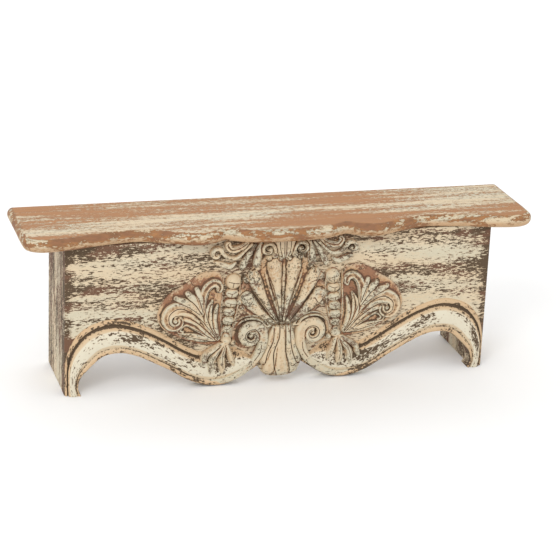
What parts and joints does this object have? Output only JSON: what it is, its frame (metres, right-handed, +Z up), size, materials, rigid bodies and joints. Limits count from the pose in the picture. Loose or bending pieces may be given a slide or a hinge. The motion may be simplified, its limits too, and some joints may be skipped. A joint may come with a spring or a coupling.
{
  "type": "wall shelf",
  "caption": "Wall shelf with a serpentine top board on a boxed frame, whose carved apron arches down to two feet and carries a shell, volutes and leaf sprays; distressed paint over wood.",
  "frame": {"origin": "middle of the hanging rail's back face, on the wall plane", "axes": "+Y into the wall, +X to the right along the shelf, +Z up"},
  "size_m": [0.7112, 0.1524, 0.2286],
  "materials": {
    "top_wood": "worn cream paint over orange-brown wood, matt",
    "painted_wood": "scraped cream and pale green paint over dark brown, matt",
    "carved_wood": "cream paint rubbed back to tan on the ridges, dark brown in the hollows, matt",
    "bare_wood": "unpainted sawn wood with thin brown stain",
    "zinc_steel": "zinc plated, slightly dulled"
  },
  "bodies": {
    "root": {"top_board": "top_wood", "apron_board": "painted_wood", "left_end_board": "painted_wood", "right_end_board": "painted_wood", "left_keyhole_plate": "zinc_steel", "right_keyhole_plate": "zinc_steel", "hanging_rail": "bare_wood", "front_cleat": "bare_wood", "left_corner_block": "bare_wood", "right_corner_block": "bare_wood", "left_arch_moulding": "carved_wood", "left_lobe_leaves": "carved_wood", "left_volute": "carved_wood", "left_bead_drop": "carved_wood", "left_acanthus_spray": "carved_wood", "left_crest_scroll": "carved_wood", "right_arch_moulding": "carved_wood", "right_lobe_leaves": "carved_wood", "right_volute": "carved_wood", "right_bead_drop": "carved_wood", "right_acanthus_spray": "carved_wood", "right_crest_scroll": "carved_wood", "shell_carving": "carved_wood", "tongue_carving": "carved_wood", "crest_carving": "carved_wood", "left_rail_dowel_1": "bare_wood", "left_block_screw_1": "zinc_steel", "left_plate_screw_1": "zinc_steel", "left_rail_dowel_2": "bare_wood", "left_block_screw_2": "zinc_steel", "left_plate_screw_2": "zinc_steel", "right_rail_dowel_1": "bare_wood", "right_block_screw_1": "zinc_steel", "right_plate_screw_1": "zinc_steel", "right_rail_dowel_2": "bare_wood", "right_block_screw_2": "zinc_steel", "right_plate_screw_2": "zinc_steel", "cleat_screw_1": "zinc_steel", "cleat_screw_2": "zinc_steel", "cleat_screw_3": "zinc_steel", "cleat_screw_4": "zinc_steel"}
  },
  "joints": []
}
